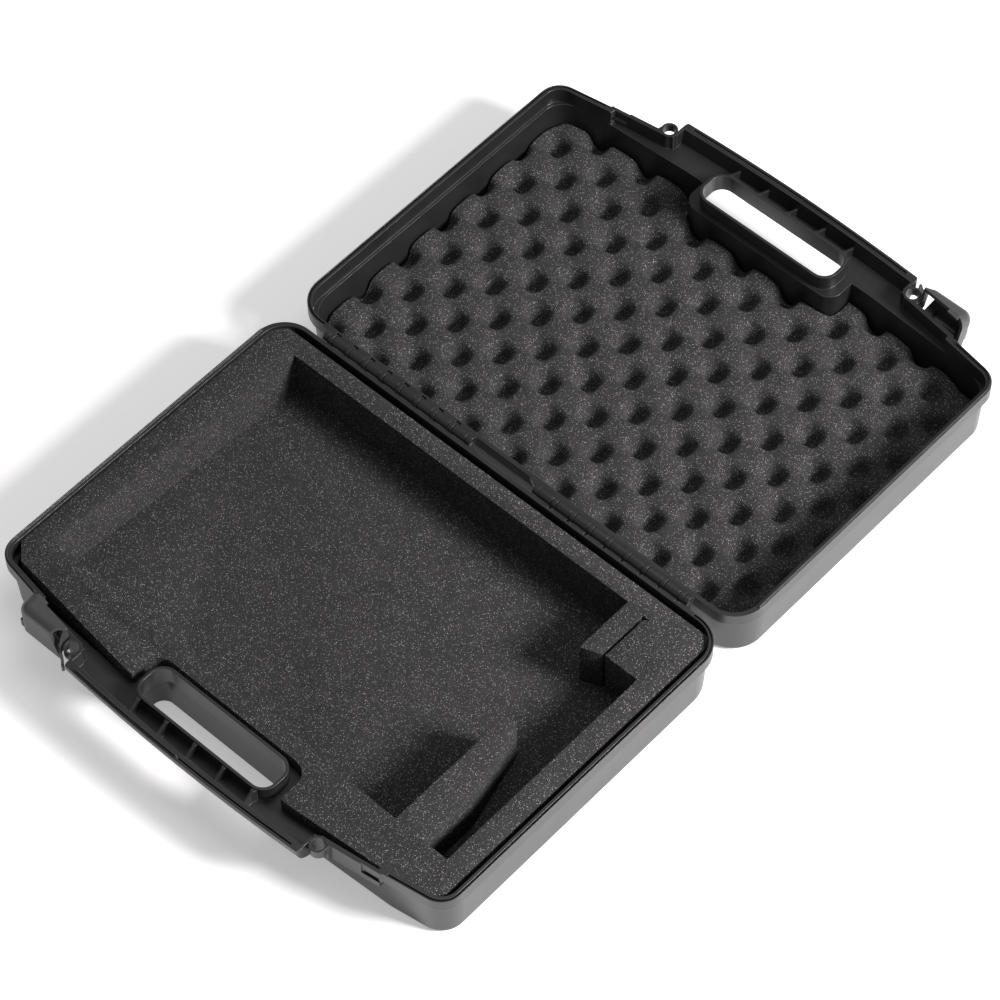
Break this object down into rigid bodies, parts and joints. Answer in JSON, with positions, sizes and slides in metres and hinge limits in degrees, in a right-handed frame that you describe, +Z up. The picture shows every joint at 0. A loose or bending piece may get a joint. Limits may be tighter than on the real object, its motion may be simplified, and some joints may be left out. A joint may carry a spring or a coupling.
{
  "type": "laptop hard case",
  "caption": "Moulded plastic carrying case for a laptop, hinged lid, handle openings, swing latches, cut foam base and egg-crate foam lid, lying open flat.",
  "frame": {"origin": "on the floor straight below the middle of the hinge axis", "axes": "+X along the hinge, -Y towards the base's handle and +Y towards the lid's handle, +Z up"},
  "size_m": [0.49, 0.7524, 0.0736],
  "materials": {
    "shell_plastic": "fine-grained moulded black polypropylene",
    "latch_plastic": "smooth moulded dark plastic",
    "pin_steel": "plain drawn wire",
    "foam": "open-cell charcoal foam"
  },
  "bodies": {
    "base": {"base_shell": "shell_plastic", "hinge_pin_left": "pin_steel", "hinge_pin_right": "pin_steel", "base_latch_pin": "pin_steel", "base_foam": "foam", "base_pad": "foam"},
    "lid": {"lid_shell": "shell_plastic", "lid_latch_pin": "pin_steel", "lid_foam": "foam"},
    "base_latch": {"base_latch": "latch_plastic"},
    "lid_latch": {"lid_latch": "latch_plastic"}
  },
  "joints": [
    {"name": "lid_hinge", "type": "hinge", "parent": "base", "child": "lid", "pos_m": [0, 0, 0.06], "axis": [1, 0, 0], "range_deg": [0, 180]},
    {"name": "base_latch_pivot", "type": "hinge", "parent": "base", "child": "base_latch", "pos_m": [-0.17, -0.355, 0.048], "axis": [1, 0, 0], "range_deg": [0, 60]},
    {"name": "lid_latch_pivot", "type": "hinge", "parent": "lid", "child": "lid_latch", "pos_m": [0.17, 0.355, 0.048], "axis": [-1, 0, 0], "range_deg": [-20, 40]}
  ]
}
